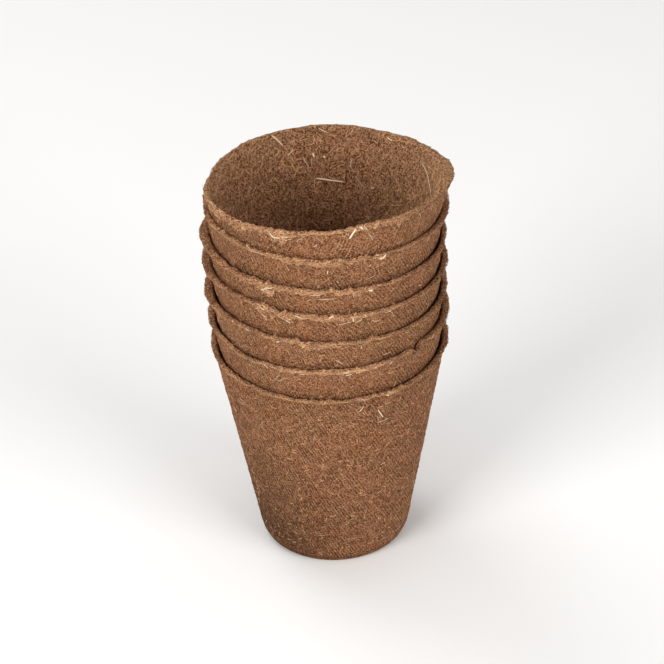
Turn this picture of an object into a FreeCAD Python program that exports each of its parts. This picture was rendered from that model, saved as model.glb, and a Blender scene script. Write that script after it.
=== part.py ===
import FreeCAD, Part
import os
import Sketcher
from FreeCAD import Placement, Rotation, Vector

# A stack of seven moulded peat-fibre plant pots, one nested in the next.
# Millimetres, +Z up. The origin is the middle of the bottom pot's underside,
# +X is the viewer's right and +Y points away from the viewer.
# Each pot is one thin moulded shell: a flat base with a rounded edge, a plain
# tapered wall, and a loosened band under the rim that has flared and slanted
# a little, each pot in its own way. A thicker soft lip ends the band.

document = FreeCAD.newDocument("peat_pots")

# Driving sizes, all lengths
sheet = document.addObject("Spreadsheet::Sheet", "sizes")
driving_sizes = (
    ("mouth_radius", "39.4"),    # outside of the plain wall at the mouth
    ("base_radius", "25.6"),     # outside of the wall where it would meet the table
    ("pot_height", "78.0"),      # underside to rim, before the rim slants
    ("wall_thickness", "1.25"),  # across the wall, measured level
    ("base_thickness", "2.0"),   # underside to floor
    ("base_round", "2.5"),       # outer edge of the base
    ("floor_round", "2.0"),      # inner corner between floor and wall
    ("nest_gap", "0.25"),        # least level gap between two nested walls
    ("rim_flare", "2.2"),        # how far the most bent rim leaves the cone
    ("lip_proud", "0.45"),       # how far the lip stands out of the wall
    ("lip_height", "1.6"),       # height of the lip band
)
for row, (alias, value) in enumerate(driving_sizes, start=1):
    sheet.set(f"A{row}", alias)
    sheet.set(f"B{row}", value)
    sheet.setAlias(f"B{row}", alias)
document.recompute()

# What each pot has of its own, from the bottom pot up
pot_names = ("bottom_pot", "second_pot", "third_pot", "fourth_pot", "fifth_pot", "sixth_pot", "top_pot")
# Each pot's rise above the one it sits in, as a share of the tightest nesting step
nest_step_shares = (0.0, 1.37, 1.25, 1.27, 1.06, 1.22, 1.0)
# How far the rim has bent outwards on its left and on its right, as a share of rim_flare
left_flare_shares = (0.27, 0.0, 0.5, 1.0, 0.95, 0.2, 0.0)
right_flare_shares = (0.43, 0.5, 0.2, 0.15, 0.0, 0.0, 0.25)
# Slant of the rim from left to right, positive where the left side is the higher one
rim_slant_degrees = (0.4, -1.1, 2.0, 2.9, 2.1, 2.2, -1.9)

# The loosened band is a share of the tightest nesting step, so it stays in the open
band_height_share = 0.94
# Stations up the band: drop below the rim as shares of the band and of the lip,
# then the share of flare and slant reached there and the share of the lip's bulge
station_shares = (
    (1.0, 0.0, 0.0, 0.0),
    (0.55, 0.0, 0.25, 0.0),
    (0.0, 1.0, 0.75, 0.0),
    (0.0, 0.5, 0.9, 1.0),
    (0.0, 0.0, 1.0, 0.55),
)

# Expressions that several features share
taper = "(sizes.mouth_radius - sizes.base_radius) / sizes.pot_height"
tightest_step = f"(sizes.wall_thickness + sizes.nest_gap) / ({taper})"
band_height = f"{band_height_share} * {tightest_step}"


def cone_radius(drop):
    """Outer radius of the plain wall at a drop below the rim."""
    return f"sizes.mouth_radius - ({taper}) * ({drop})"


def own_plane(body, role):
    """One of the body's own origin planes."""
    return next(item for item in body.Origin.OriginFeatures if item.Role == role)


def attached_sketch(body, name, role):
    """An empty sketch on one of the body's own origin planes."""
    sketch = body.newObject("Sketcher::SketchObject", name)
    sketch.AttachmentSupport = [(own_plane(body, role), "")]
    sketch.MapMode = "FlatFace"
    return sketch


def bind(sketch, kind, references, name, expression):
    """A named dimension of a sketch, driven by the sheet."""
    index = sketch.addConstraint(Sketcher.Constraint(kind, *references, sheet.mouth_radius))
    sketch.renameConstraint(index, name)
    sketch.setExpression(f"Constraints.{name}", expression)


def section_sketch(body):
    """Half section of base and plain wall, up to where the loosened band starts."""
    sketch = attached_sketch(body, f"{body.Name}_section", "XZ_Plane")
    mouth, base, height = sheet.mouth_radius, sheet.base_radius, sheet.pot_height
    wall, floor = sheet.wall_thickness, sheet.base_thickness
    corners = (
        Vector(0, 0, 0),
        Vector(base, 0, 0),
        Vector(mouth, height, 0),
        Vector(mouth - wall, height, 0),
        Vector(base - wall, floor, 0),
        Vector(0, floor, 0),
    )
    for index, corner in enumerate(corners):
        sketch.addGeometry(Part.LineSegment(corner, corners[(index + 1) % len(corners)]))
    for index in range(len(corners)):
        sketch.addConstraint(Sketcher.Constraint("Coincident", index, 2, (index + 1) % len(corners), 1))
    underside, outer_wall, band_start, inner_wall, floor_line, axis_line = range(len(corners))
    sketch.addConstraint(Sketcher.Constraint("Coincident", underside, 1, -1, 1))
    for line in (underside, band_start, floor_line):
        sketch.addConstraint(Sketcher.Constraint("Horizontal", line))
    sketch.addConstraint(Sketcher.Constraint("Vertical", axis_line))
    bind(sketch, "DistanceX", (-1, 1, underside, 2), "base_reach", "sizes.base_radius")
    bind(sketch, "DistanceX", (-1, 1, outer_wall, 2), "band_reach", cone_radius(band_height))
    bind(sketch, "DistanceY", (-1, 1, outer_wall, 2), "band_level", f"sizes.pot_height - {band_height}")
    bind(sketch, "DistanceX", (band_start, 2, band_start, 1), "wall_across", "sizes.wall_thickness")
    bind(sketch, "DistanceY", (-1, 1, inner_wall, 2), "floor_level", "sizes.base_thickness")
    floor_reach = f"sizes.base_radius + ({taper}) * sizes.base_thickness - sizes.wall_thickness"
    bind(sketch, "DistanceX", (-1, 1, inner_wall, 2), "floor_reach", floor_reach)
    return sketch


def ring_edges(feature):
    """Names of the feature's circular edges, from the lowest up."""
    rings = []
    for index, edge in enumerate(feature.Shape.Edges, start=1):
        if isinstance(edge.Curve, Part.Circle):
            rings.append((edge.Curve.Center.z, f"Edge{index}"))
    return [name for level, name in sorted(rings)]


def rounded_edge(body, name, feature, edge, radius):
    """One round along a ring edge of a feature."""
    fillet = body.newObject("PartDesign::Fillet", name)
    fillet.Base = (feature, [edge])
    fillet.setExpression("Radius", f"sizes.{radius}")
    document.recompute()
    return fillet


def band_section(body, pot, station):
    """One ring-shaped section of the loosened band, flared and slanted for this pot."""
    band_share, lip_share, bend_share, bulge_share = station_shares[station]
    left = f"sizes.rim_flare * {left_flare_shares[pot]}"
    right = f"sizes.rim_flare * {right_flare_shares[pot]}"
    drop = f"{band_share} * {band_height} + {lip_share} * sizes.lip_height"
    wall_radius = f"{cone_radius(drop)} + {bend_share} * ({left} + {right}) / 2"

    sketch = attached_sketch(body, f"{body.Name}_band_{station}", "XY_Plane")
    sketch.addGeometry(Part.Circle(Vector(0, 0, 0), Vector(0, 0, 1), sheet.mouth_radius))
    inner_start = sheet.mouth_radius - sheet.wall_thickness
    sketch.addGeometry(Part.Circle(Vector(0, 0, 0), Vector(0, 0, 1), inner_start))
    for circle in (0, 1):
        sketch.addConstraint(Sketcher.Constraint("Coincident", circle, 3, -1, 1))
    bind(sketch, "Radius", (0,), "outside", f"{wall_radius} + {bulge_share} * sizes.lip_proud")
    bind(sketch, "Radius", (1,), "inside", f"{wall_radius} - sizes.wall_thickness")

    slant = bend_share * rim_slant_degrees[pot]
    sketch.AttachmentOffset = Placement(Vector(0, 0, 0), Rotation(Vector(0, 1, 0), slant))
    sketch.setExpression(".AttachmentOffset.Base.x", f"{bend_share} * ({right} - {left}) / 2")
    sketch.setExpression(".AttachmentOffset.Base.z", f"sizes.pot_height - ({drop})")
    return sketch


def peat_pot(pot):
    """One pot: a turned shell with rounded base, and its loosened band lofted on top."""
    name = pot_names[pot]
    body = document.addObject("PartDesign::Body", name)
    body.Label = name

    shell = body.newObject("PartDesign::Revolution", f"{name}_shell")
    section = section_sketch(body)
    shell.Profile = section
    shell.ReferenceAxis = (section, ["V_Axis"])
    document.recompute()
    edges = ring_edges(shell)
    floor_fillet = rounded_edge(body, f"{name}_floor_corner", shell, edges[1], "floor_round")
    base_fillet = rounded_edge(body, f"{name}_base_edge", floor_fillet, ring_edges(floor_fillet)[0], "base_round")

    sections = [band_section(body, pot, station) for station in range(len(station_shares))]
    band = body.newObject("PartDesign::AdditiveLoft", f"{name}_band")
    band.Profile = sections[0]
    band.Sections = sections[1:]
    band.Ruled = True

    rise_share = sum(nest_step_shares[:pot + 1])
    body.Placement = Placement(Vector(0, 0, 0), Rotation())
    body.setExpression(".Placement.Base.z", f"{rise_share} * {tightest_step}")
    document.recompute()
    return body


pots = [peat_pot(pot) for pot in range(len(pot_names))]
document.recompute()

for item in document.Objects:
    if "Invalid" in item.State or "Error" in item.State:
        raise RuntimeError(f"{item.Name} did not compute: {item.State}")
for body in pots:
    shape = body.Shape
    if shape.isNull() or not shape.isValid() or len(shape.Solids) != 1:
        raise RuntimeError(f"{body.Label} is not one sound solid")
    bounds = shape.BoundBox
    print(f"{body.Label}: {shape.Volume / 1000:.2f} cm3, z {bounds.ZMin:.2f} to {bounds.ZMax:.2f}, "
          f"x {bounds.XMin:.2f} to {bounds.XMax:.2f}")

os.makedirs("parts", exist_ok=True)
for body in pots:
    body.Shape.exportStep(f"parts/{body.Label}.step")
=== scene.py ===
# Looks of a stack of seven nested plant pots moulded from peat and wood fibre.
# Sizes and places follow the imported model. Lengths in the classes are millimetres
# and bearings are degrees: 0 is +X, 90 the back, 180 the left, 270 the viewer.
import logging
import math
from dataclasses import dataclass, field
from enum import Enum

import bpy
import numpy as np
from bpy.types import ID, Material, Mesh, Node, NodeSocket, NodeTree, Object
from mathutils import Matrix, Vector


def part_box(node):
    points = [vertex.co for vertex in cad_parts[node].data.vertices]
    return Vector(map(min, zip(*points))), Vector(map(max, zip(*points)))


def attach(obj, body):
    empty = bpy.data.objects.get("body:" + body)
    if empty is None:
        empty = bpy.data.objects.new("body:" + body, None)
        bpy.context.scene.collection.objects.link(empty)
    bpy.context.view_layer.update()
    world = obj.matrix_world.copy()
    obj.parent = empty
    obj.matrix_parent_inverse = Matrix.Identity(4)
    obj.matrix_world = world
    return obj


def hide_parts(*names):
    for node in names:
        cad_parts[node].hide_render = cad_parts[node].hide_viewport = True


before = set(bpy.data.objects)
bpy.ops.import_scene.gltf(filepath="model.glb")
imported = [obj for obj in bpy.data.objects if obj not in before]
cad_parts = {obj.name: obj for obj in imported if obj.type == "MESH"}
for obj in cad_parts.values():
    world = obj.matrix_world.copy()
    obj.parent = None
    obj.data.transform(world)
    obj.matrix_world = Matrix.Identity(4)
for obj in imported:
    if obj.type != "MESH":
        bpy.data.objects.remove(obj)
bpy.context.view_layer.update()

MM = 0.001
FLAT_MAP = "unrolled_wall"
log = logging.getLogger("peat_pots")


# Colour and nodes

def linear(hex_colour: str) -> tuple[float, float, float, float]:
    """Turns an sRGB hex colour into linear RGBA.

    Args:
        hex_colour: Six hex digits after a hash sign.

    Returns:
        The linear red, green and blue, and an alpha of one.
    """
    parts = [int(hex_colour[i:i + 2], 16) / 255 for i in (1, 3, 5)]
    red, green, blue = (part / 12.92 if part <= 0.04045 else ((part + 0.055) / 1.055) ** 2.4
                        for part in parts)
    return red, green, blue, 1.0


def add_node(tree: NodeTree, kind: str, settings: dict, links: dict, stops: tuple = ()) -> Node:
    """Adds one node with its settings, values and links.

    Args:
        tree: The node tree to add to.
        kind: The node's type name without the leading ShaderNode.
        settings: Attributes of the node.
        links: Input name or number to a value, to an output socket to link, or to a
            node whose first output is linked.
        stops: Pairs of position and linear colour, where the node is a ramp.

    Returns:
        The new node.
    """
    node = tree.nodes.new("ShaderNode" + kind)
    for name, value in settings.items():
        setattr(node, name, value)
    for name, value in links.items():
        socket = node.inputs[name]
        if isinstance(value, Node):
            value = value.outputs[0]
        if isinstance(value, NodeSocket):
            tree.links.new(value, socket)
        else:
            socket.default_value = value
    for place, (position, colour) in enumerate(stops):
        if place == len(node.color_ramp.elements):
            node.color_ramp.elements.new(position)
        node.color_ramp.elements[place].position = position
        node.color_ramp.elements[place].color = colour
    return node


def new_finish(name: str) -> tuple[Material, NodeTree, Node]:
    """Starts a material.

    Args:
        name: What the finish is called.

    Returns:
        The material, its nodes and its shader.
    """
    material = bpy.data.materials.new(name)
    material.use_nodes = True
    return material, material.node_tree, material.node_tree.nodes["Principled BSDF"]


def add_object(data: ID) -> Object:
    """Puts a mesh, light or camera in the scene under its own name.

    Args:
        data: The mesh, light or camera.

    Returns:
        The object that shows it.
    """
    item = bpy.data.objects.new(data.name, data)
    bpy.context.scene.collection.objects.link(item)
    return item


class Shade(Enum):
    """Surface attributes that the meshes carry for their finishes."""

    # The lip attribute holds the torn lip's paler tone, and on the wall inside the painted light
    # that pales it
    LIP = "lip_tone_and_painted_light"
    SCREEN = "screen_side"
    # Painted shade that darkens the felt at the foot
    PAINTED_SHADE = "painted_foot_shade"
    STRAND = "strand_tone"


# Finishes

@dataclass(frozen=True)
class MouldedPulp:
    """Peat and wood fibre felted onto a wire screen, then dried.

    A dull brown felt with winding tan fibres, dark gaps and pits between them,
    a faint diagonal print of the screen's wires outside, a paler lip, painted light
    that pales the wall inside, and a painted shade that darkens the foot. The real
    grain is near 0.15 mm, too fine to show, so the grain and the fibre lines are
    drawn about three times as coarse.
    """

    name: str = "felted_peat_pulp_screen_moulded"
    body_brown: str = "#7A4729"
    dark_brown: str = "#341202"
    light_tan: str = "#B98B67"
    pit_brown: str = "#220B01"
    lip_dark: str = "#7E4727"
    lip_tan: str = "#BC8459"
    lip_light: str = "#EABE92"
    red_cast: str = "#85492E"
    olive_cast: str = "#7A5B3C"
    # Painted shade: the grey that the felt's colour is multiplied by at the foot
    painted_shade_tint: str = "#BABBBA"
    roughness_low: float = 0.86
    roughness_high: float = 0.98
    specular: float = 0.1
    # Sizes in millimetres: the grain on each face, the fibres' bends, pits, wires and patches
    felt_grain: float = 0.39
    inner_grain: float = 0.46
    long_bend: float = 1.7
    short_bend: float = 0.85
    gap_bend: float = 0.9
    pit_spacing: float = 1.3
    wire_spacing: float = 1.03
    print_patch: float = 8.0
    cloud: float = 7.0
    cast_patch: float = 16.0
    relief: float = 0.26
    # How strongly each layer tells, the wires' lean in degrees, and the least print that
    # marks a wall as the outside
    cast_share: float = 0.16
    cloud_share: float = 0.26
    print_share: float = 0.5
    print_rise: float = 0.9
    inner_contrast: float = 2.3
    wire_lean: float = 25.0
    outside_print: float = 0.45

    def build(self) -> Material:
        """Builds the material.

        Returns:
            The material, with colour, roughness and bump from its nodes.
        """
        material, tree, shader = new_finish(self.name)
        place = add_node(tree, "TexCoord", {}, {})
        solid = add_node(tree, "VectorMath", {"operation": "SCALE"},
                         {0: place.outputs["Object"], "Scale": 1 / MM})
        lip, screen, painted_shade = (
            add_node(tree, "Attribute", {"attribute_name": shade.value}, {}).outputs["Fac"]
            for shade in (Shade.LIP, Shade.SCREEN, Shade.PAINTED_SHADE))

        # The faces differ in grain and in contrast, and the print tells which is the outer one
        grain_scale, contrast = (
            add_node(tree, "MapRange", {}, {
                "Value": screen, "From Max": self.outside_print, "To Min": inside,
                "To Max": outside})
            for inside, outside in ((1 / self.inner_grain, 1 / self.felt_grain),
                                    (self.inner_contrast, 1.0)))
        felt = add_node(tree, "TexNoise", {}, {
            "Vector": solid, "Scale": grain_scale, "Detail": 2.2, "Roughness": 0.65,
            "Distortion": 0.6})
        long_fibres = self._threads(tree, solid, self.long_bend, (0.0, 0.0, 0.0))
        short_fibres = self._threads(tree, solid, self.short_bend, (31.0, 7.0, 13.0))
        gaps = self._threads(tree, solid, self.gap_bend, (5.0, 43.0, 23.0))
        pits = self._pits(tree, solid)
        wires = self._wires(tree, solid, screen)

        centred = add_node(tree, "Math", {"operation": "SUBTRACT"}, {0: felt, 1: 0.5})
        grain = add_node(tree, "Math", {"operation": "MULTIPLY_ADD"}, {
            0: centred, 1: contrast, 2: 0.5})
        layer, height = self._felt_colour(tree, solid, grain, wires, lip), felt
        # Each layer's mask, how far it covers what lies under it, its colour and its rise
        for mask, cover, colour, rise in (
                (long_fibres, 0.45, self.light_tan, 0.45),
                (short_fibres, 0.55, self.light_tan, 0.35),
                (gaps, 0.55, self.dark_brown, -0.5), (pits, 0.85, self.pit_brown, -0.7)):
            amount = add_node(tree, "Math", {"operation": "MULTIPLY"}, {0: mask, 1: cover})
            layer = add_node(tree, "Mix", {"data_type": "RGBA"}, {
                "Factor": amount, 6: layer, 7: linear(colour)}).outputs[2]
            height = add_node(tree, "Math", {"operation": "MULTIPLY_ADD"}, {
                0: mask, 1: rise, 2: height})
        height = add_node(tree, "Math", {"operation": "MULTIPLY_ADD"}, {
            0: wires, 1: self.print_rise, 2: height})

        # Painted shade: the colour is multiplied darker at the foot
        painted_shade_mix = add_node(tree, "Mix", {"data_type": "RGBA", "blend_type": "MULTIPLY"}, {
            "Factor": painted_shade, 6: layer, 7: linear(self.painted_shade_tint)})
        tree.links.new(painted_shade_mix.outputs[2], shader.inputs["Base Color"])
        bump = add_node(tree, "Bump", {}, {
            "Strength": 1.0, "Distance": self.relief * MM, "Height": height})
        tree.links.new(bump.outputs[0], shader.inputs["Normal"])
        dull = add_node(tree, "MapRange", {}, {
            "Value": felt, "To Min": self.roughness_high, "To Max": self.roughness_low})
        tree.links.new(dull.outputs[0], shader.inputs["Roughness"])
        shader.inputs["Specular IOR Level"].default_value = self.specular
        return material

    def _felt_colour(self, tree: NodeTree, solid: Node, grain: Node, wires: Node,
                     lip: NodeSocket) -> NodeSocket:
        """Colour of the felt, before its fibres, gaps and pits are laid over it.

        Args:
            tree: The material's nodes.
            solid: Place in millimetres.
            grain: The felt's grain, around a half.
            wires: The print of the mould screen's wires, around a half.
            lip: How much of the torn lip's colour shows; inside, how much painted light pales the
                wall.

        Returns:
            The colour.
        """
        base = add_node(tree, "ValToRGB", {}, {0: grain}, (
            (0.39, linear(self.dark_brown)), (0.5, linear(self.body_brown)),
            (0.62, linear(self.light_tan))))
        lip_base = add_node(tree, "ValToRGB", {}, {0: grain}, (
            (0.4, linear(self.lip_dark)), (0.5, linear(self.lip_tan)),
            (0.61, linear(self.lip_light))))
        cast_noise = add_node(tree, "TexNoise", {}, {
            "Vector": solid, "Scale": 1 / self.cast_patch, "Detail": 3.0, "Roughness": 0.6})
        cast = add_node(tree, "ValToRGB", {}, {0: cast_noise}, (
            (0.4, linear(self.red_cast)), (0.6, linear(self.olive_cast))))
        clouds = add_node(tree, "TexNoise", {}, {
            "Vector": solid, "Scale": 1 / self.cloud, "Detail": 2.0})
        layer = base.outputs[0]
        for way, amount, over in (
                ("MIX", self.cast_share, cast), ("OVERLAY", self.cloud_share, clouds),
                ("OVERLAY", self.print_share, wires), ("MIX", lip, lip_base)):
            layer = add_node(tree, "Mix", {"data_type": "RGBA", "blend_type": way}, {
                "Factor": amount, 6: layer, 7: over}).outputs[2]
        return layer

    def _threads(self, tree: NodeTree, solid: Node, bend: float, offset: tuple) -> Node:
        """Thin winding lines cut into short lengths, as matted fibres lie.

        Args:
            tree: The material's nodes.
            solid: Place in millimetres.
            bend: Width of the bends.
            offset: Shift that sets this layer apart from the others.

        Returns:
            One on the lines and nought between them.
        """
        moved = add_node(tree, "VectorMath", {"operation": "ADD"}, {0: solid, 1: offset})
        winding = add_node(tree, "TexNoise", {}, {
            "Vector": moved, "Scale": 1 / bend, "Detail": 1.5, "Distortion": 0.5})
        centred = add_node(tree, "Math", {"operation": "SUBTRACT"}, {0: winding, 1: 0.5})
        away = add_node(tree, "Math", {"operation": "ABSOLUTE"}, {0: centred})
        line = add_node(tree, "MapRange", {}, {"Value": away, "From Min": 0.045, "From Max": 0.012})
        chop = add_node(tree, "TexNoise", {}, {"Vector": moved, "Scale": 0.8 / bend, "Detail": 0.0})
        kept = add_node(tree, "MapRange", {}, {"Value": chop, "From Min": 0.44, "From Max": 0.52})
        return add_node(tree, "Math", {"operation": "MULTIPLY"}, {0: line, 1: kept})

    def _pits(self, tree: NodeTree, solid: Node) -> Node:
        """Small dark pits between the fibres.

        Args:
            tree: The material's nodes.
            solid: Place in millimetres.

        Returns:
            One in the pits and nought between them.
        """
        cells = add_node(tree, "TexVoronoi", {}, {"Vector": solid, "Scale": 1 / self.pit_spacing})
        near = add_node(tree, "MapRange", {}, {
            "Value": cells.outputs["Distance"], "From Min": 0.24, "From Max": 0.08})
        chosen = add_node(tree, "Math", {"operation": "GREATER_THAN"}, {
            0: cells.outputs["Color"], 1: 0.6})
        return add_node(tree, "Math", {"operation": "MULTIPLY"}, {0: near, 1: chosen})

    def _wires(self, tree: NodeTree, solid: Node, screen: NodeSocket) -> Node:
        """Diagonal print of the mould screen's wires, which comes and goes over the outside.

        Args:
            tree: The material's nodes.
            solid: Place in millimetres.
            screen: How much of the print this part of the surface has.

        Returns:
            A half where there is no print, and more or less on its wires and gaps.
        """
        flat = add_node(tree, "UVMap", {"uv_map": FLAT_MAP}, {})
        turned = add_node(tree, "Mapping", {}, {
            "Vector": flat, "Rotation": (0, 0, math.radians(-self.wire_lean))})
        # The wave texture turns through 20 radians for each unit of its scale
        wave = add_node(tree, "TexWave", {}, {
            "Vector": turned, "Scale": math.tau / 20 / self.wire_spacing,
            "Distortion": 1.4, "Detail": 2.0, "Detail Scale": 1.2})
        patch = add_node(tree, "TexNoise", {}, {
            "Vector": solid, "Scale": 1 / self.print_patch, "Detail": 1.0})
        shown = add_node(tree, "MapRange", {}, {"Value": patch, "From Min": 0.32, "From Max": 0.58})
        amount = add_node(tree, "Math", {"operation": "MULTIPLY"}, {0: shown, 1: screen})
        level = add_node(tree, "Math", {"operation": "SUBTRACT"}, {0: wave.outputs[1], 1: 0.5})
        return add_node(tree, "Math", {"operation": "MULTIPLY_ADD"}, {0: level, 1: amount, 2: 0.5})


@dataclass(frozen=True)
class StrandFinish:
    """Dry plant fibre that stands on or lies in the pulp.

    Dull, and paler or darker from strand to strand.
    """

    name: str
    dark: str
    light: str
    roughness: float
    streak: float = 0.15
    streak_share: float = 0.35
    relief: float = 0.04
    specular: float = 0.15

    def build(self) -> Material:
        """Builds the material.

        Returns:
            The material, with colour set by each strand's own tone.
        """
        material, tree, shader = new_finish(self.name)
        tone = add_node(tree, "Attribute", {"attribute_name": Shade.STRAND.value}, {})
        place = add_node(tree, "TexCoord", {}, {})
        streaks = add_node(tree, "TexNoise", {}, {
            "Vector": place.outputs["Object"], "Scale": 1 / (self.streak * MM), "Detail": 1.0})
        varied = add_node(tree, "Math", {"operation": "MULTIPLY_ADD"}, {
            0: streaks, 1: self.streak_share, 2: tone.outputs["Fac"]})
        ramp = add_node(tree, "ValToRGB", {}, {0: varied}, (
            (0.17, linear(self.dark)), (1.17, linear(self.light))))
        tree.links.new(ramp.outputs[0], shader.inputs["Base Color"])
        bump = add_node(tree, "Bump", {}, {
            "Strength": 0.4, "Distance": self.relief * MM, "Height": streaks})
        tree.links.new(bump.outputs[0], shader.inputs["Normal"])
        shader.inputs["Roughness"].default_value = self.roughness
        shader.inputs["Specular IOR Level"].default_value = self.specular
        return material


# Wood fibre: the pulp's own, from nearly as dark as the felt to tan, so it reads as a nap
WOOD_FIBRE = StrandFinish("wood_fibre_pulped", "#3F1B0A", "#D4A378", 0.9)
# Cereal straw: split and dried, the palest thing on the pots, with a slight sheen
STRAW = StrandFinish("cereal_straw_split", "#946B48", "#F4DEBE", 0.6)


# Shape of one pot

@dataclass(frozen=True)
class Waves:
    """A smooth seeded field over a pot's wall, made of crossing waves."""

    seed: int
    shortest: float
    longest: float
    count: int = 28
    mean_radius: float = 33.0

    def at(self, bearing: np.ndarray, drop: np.ndarray) -> np.ndarray:
        """Reads the field.

        Args:
            bearing: Bearings in radians.
            drop: Distances below the rim, of a shape that fits the bearings.

        Returns:
            Values of about unit spread.
        """
        draw = np.random.default_rng(self.seed)
        total = 0.0
        for _ in range(self.count):
            length = self.shortest * (self.longest / self.shortest) ** draw.random()
            lean, phase = draw.random() * math.tau, draw.random() * math.tau
            turns = round(math.tau * self.mean_radius / length * math.cos(lean))
            climb = math.tau / length * math.sin(lean)
            total = total + np.cos(turns * bearing + climb * drop + phase)
        return total * math.sqrt(2 / self.count)


@dataclass(frozen=True)
class Swell:
    """A local change of the rim: out, up, or in its torn lip's hang, reach and tone."""

    bearing: float
    width: float
    outward: float = 0.0
    upward: float = 0.0
    hang: float = 0.0
    reach: float = 0.0
    tone: float = 0.0
    band: float = 8.0

    def weight(self, bearing: np.ndarray) -> np.ndarray:
        """How much of the swell is felt at these bearings, in radians."""
        apart = np.degrees(np.angle(np.exp(1j * (bearing - math.radians(self.bearing)))))
        return np.exp(-((apart / self.width) ** 2))


@dataclass(frozen=True)
class RimCharacter:
    """How one pot's rim has bent, slanted and torn."""

    left_flare: float
    right_flare: float
    slant: float
    swells: tuple = ()
    nod: float = 0.0
    hang: float = 0.65
    reach: float = 0.26
    tone: float = 0.58


# Rows of a pot's wave fields that its lip is read from, apart so that they don't agree
HANG_ROW, REACH_ROW, TONE_ROW = 90.0, 140.0, 60.0
FRAY_ROW, CURL_ROW, EDGE_ROW = 60, 25, 30


@dataclass
class PotForm:
    """Sizes of one moulded pot and the surface that they make."""

    seed: int
    floor_level: float
    rim: RimCharacter
    mouth_radius: float = 39.4
    base_radius: float = 25.6
    height: float = 78.0
    wall: float = 1.25
    base_thickness: float = 2.0
    base_round: float = 2.5
    floor_round: float = 2.0
    band: float = 8.0
    bend_power: float = 1.6
    brim_power: float = 11.0
    slack: float = 0.05
    side_power: float = 1.5
    brim_wave: float = 0.06
    sway: float = 0.12
    roughness: float = 0.03
    loose_roughness: float = 0.02
    # The rim's crest: the band it fades over, its waves, its fraying and its tufts, how pale
    # a lip is before it frays, and how much of the fraying a smooth and a pale lip have
    crest_band: float = 2.6
    crest_wave: float = 0.14
    crest_fray: float = 0.07
    crest_tuft: float = 0.22
    tuft_start: float = 0.8
    smooth_tone: float = 0.15
    smooth_crest: float = 0.05
    pale_crest: float = 1.9
    # The torn lip: how unevenly it hangs, reaches out and pales, with the limits of each
    hang_wave: float = 0.25
    hang_fray: float = 0.3
    hang_change: float = 0.65
    hang_limits: tuple = (0.5, 5.5)
    reach_wave: float = 0.3
    reach_limits: tuple = (0.06, 1.0)
    tone_wave: float = 0.25
    tone_limits: tuple = (0.0, 0.95)
    slow: Waves = field(init=False)
    medium: Waves = field(init=False)
    fine: Waves = field(init=False)

    def __post_init__(self) -> None:
        """Seeds the pot's own unevenness."""
        self.slow = Waves(self.seed, 18.0, 70.0)
        self.medium = Waves(self.seed + 1, 4.0, 14.0)
        self.fine = Waves(self.seed + 2, 1.2, 3.0, 44)

    @property
    def taper(self) -> float:
        """Radius gained for each millimetre of height."""
        return (self.mouth_radius - self.base_radius) / self.height

    def swell(self, bearing: np.ndarray, part: str, drop: np.ndarray | None = None) -> np.ndarray:
        """Adds up the rim's local changes of one kind.

        Args:
            bearing: Bearings in radians.
            part: The kind of change.
            drop: Distances below the rim, where the change fades with them.

        Returns:
            The sum, in the units of the change.
        """
        total = np.zeros_like(bearing)
        for swell in self.rim.swells:
            fade = 1.0 if drop is None else np.clip(1 - drop / swell.band, 0, 1) ** self.bend_power
            total = total + getattr(swell, part) * swell.weight(bearing) * fade
        return total

    def flare(self, bearing: np.ndarray, drop: np.ndarray) -> np.ndarray:
        """How far the brim has bent outwards.

        Args:
            bearing: Bearings in radians.
            drop: Distances below the rim.

        Returns:
            Distances in millimetres.
        """
        left = np.clip(-np.cos(bearing), 0, 1) ** self.side_power
        right = np.clip(np.cos(bearing), 0, 1) ** self.side_power
        bent = self.rim.left_flare * left + self.rim.right_flare * right + self.slack
        wavy = self.brim_wave * self.medium.at(bearing, 0.2 * drop)
        brim = np.clip(1 - drop / self.band, 0, 1) ** self.brim_power
        return brim * (bent + wavy) + self.swell(bearing, "outward", drop)

    def lip_hang(self, bearing: np.ndarray) -> np.ndarray:
        """How far below the rim the torn lip ends.

        Args:
            bearing: Bearings in radians.

        Returns:
            Distances in millimetres.
        """
        level = np.full_like(bearing, HANG_ROW)
        torn = (self.hang_wave * self.medium.at(bearing, level)
                + self.hang_fray * self.fine.at(bearing, level))
        hang = self.rim.hang + self.swell(bearing, "hang")
        return np.clip(hang * (1 + self.hang_change * torn), *self.hang_limits)

    def lip_reach(self, bearing: np.ndarray) -> np.ndarray:
        """How far the torn lip stands out of the wall.

        Args:
            bearing: Bearings in radians.

        Returns:
            Distances in millimetres.
        """
        level = np.full_like(bearing, REACH_ROW)
        reach = self.rim.reach + self.swell(bearing, "reach")
        uneven = 1 + self.reach_wave * self.medium.at(bearing, level)
        return np.clip(reach * uneven, *self.reach_limits)

    def lip_tone(self, bearing: np.ndarray) -> np.ndarray:
        """How pale the torn lip is.

        Args:
            bearing: Bearings in radians.

        Returns:
            Values from nought to one.
        """
        level = np.full_like(bearing, TONE_ROW)
        tone = self.rim.tone + self.swell(bearing, "tone")
        uneven = 1 + self.tone_wave * self.medium.at(bearing, level)
        return np.clip(tone * uneven, *self.tone_limits)

    def crest(self, bearing: np.ndarray, drop: np.ndarray) -> np.ndarray:
        """How far the frayed rim stands above its own line.

        Args:
            bearing: Bearings in radians.
            drop: Distances below the rim.

        Returns:
            Distances in millimetres, of either sign.
        """
        frayed = np.clip(self.lip_tone(bearing) - self.smooth_tone, 0, 1)
        amount = self.smooth_crest + self.pale_crest * frayed
        level = np.zeros_like(bearing)
        fine = self.fine.at(bearing, level)
        ragged = self.crest_wave * self.medium.at(bearing, level) + self.crest_fray * fine
        ragged = ragged + self.crest_tuft * np.clip(fine - self.tuft_start, 0, 2)
        return np.clip(1 - drop / self.crest_band, 0, 1) * amount * ragged

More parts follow.
